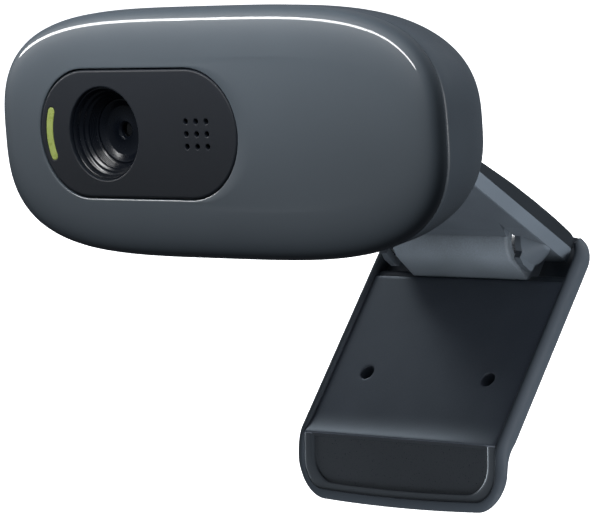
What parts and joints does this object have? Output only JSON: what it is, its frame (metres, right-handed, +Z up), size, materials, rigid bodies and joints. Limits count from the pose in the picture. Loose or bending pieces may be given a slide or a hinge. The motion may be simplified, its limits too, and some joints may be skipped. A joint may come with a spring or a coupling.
{
  "type": "webcam",
  "caption": "Clip-on webcam: a wide rounded camera head that tilts on a sloping arm, and a folding leg that grips the top edge of a screen.",
  "frame": {"origin": "middle of the arm's underside, the face that rests on the screen's top edge", "axes": "+X is the head's right-hand end as the camera is faced, -Y is where the camera looks, +Z is up"},
  "size_m": [0.0728, 0.0589, 0.0703],
  "materials": {
    "face_satin": "satin gunmetal lacquer, soft highlight along the rounded edge",
    "shell_matte": "fine matte moulding texture",
    "bezel_satin": "smooth satin charcoal",
    "lens_black": "gloss black turned rings",
    "lens_glass": "clear coated optical glass",
    "filter_glass": "reddish infrared-blocking coating",
    "black_plastic": "plain black moulding",
    "sensor_die": "dark silicon under a cover",
    "board_green": "green solder mask",
    "chip_black": "black epoxy package",
    "can_metal": "plain metal can",
    "screw_steel": "zinc-plated steel",
    "pin_steel": "ground steel",
    "lead_wire": "tinned wire",
    "led_green": "translucent yellow-green light guide, lit",
    "led_body": "clear lamp in a white package",
    "boot_rubber": "soft black rubber",
    "header_ivory": "ivory nylon",
    "arm_satin": "satin charcoal moulding",
    "pad_rubber": "thin grey grip rubber",
    "leg_satin": "satin charcoal moulding",
    "tip_rubber": "dark grip rubber"
  },
  "bodies": {
    "arm": {"arm_plate": "arm_satin", "arm_cover": "arm_satin", "arm_grip_pad": "pad_rubber", "arm_screws": "screw_steel", "tilt_pin": "pin_steel", "tilt_washers": "pin_steel", "clip_pin": "pin_steel", "clip_washers": "pin_steel"},
    "head": {"front_cover": "face_satin", "rear_shell": "shell_matte", "face_bezel": "bezel_satin", "lens_hood": "lens_black", "lens_barrel": "lens_black", "lens_elements": "lens_glass", "lens_holder": "black_plastic", "ir_filter": "filter_glass", "image_sensor": "sensor_die", "main_board": "board_green", "usb_controller": "chip_black", "flash_memory": "chip_black", "crystal": "can_metal", "board_screws": "screw_steel", "led_light_pipe": "led_green", "status_led": "led_body", "microphone": "can_metal", "microphone_boot": "boot_rubber", "microphone_leads": "lead_wire", "cable_header": "header_ivory", "cable_gland": "black_plastic", "tilt_bracket": "shell_matte", "bracket_screws": "screw_steel"},
    "leg": {"leg_shell": "leg_satin", "leg_panel": "leg_satin", "tip_grip_pad": "tip_rubber"}
  },
  "joints": [
    {"name": "head_tilt", "type": "hinge", "parent": "arm", "child": "head", "pos_m": [0, -0.01835, 0.01394], "axis": [1, 0, 0], "range_deg": [-20, 30]},
    {"name": "clip_fold", "type": "hinge", "parent": "arm", "child": "leg", "pos_m": [0, 0.01308, -0.00742], "axis": [1, 0, 0], "range_deg": [-50, 95]}
  ]
}
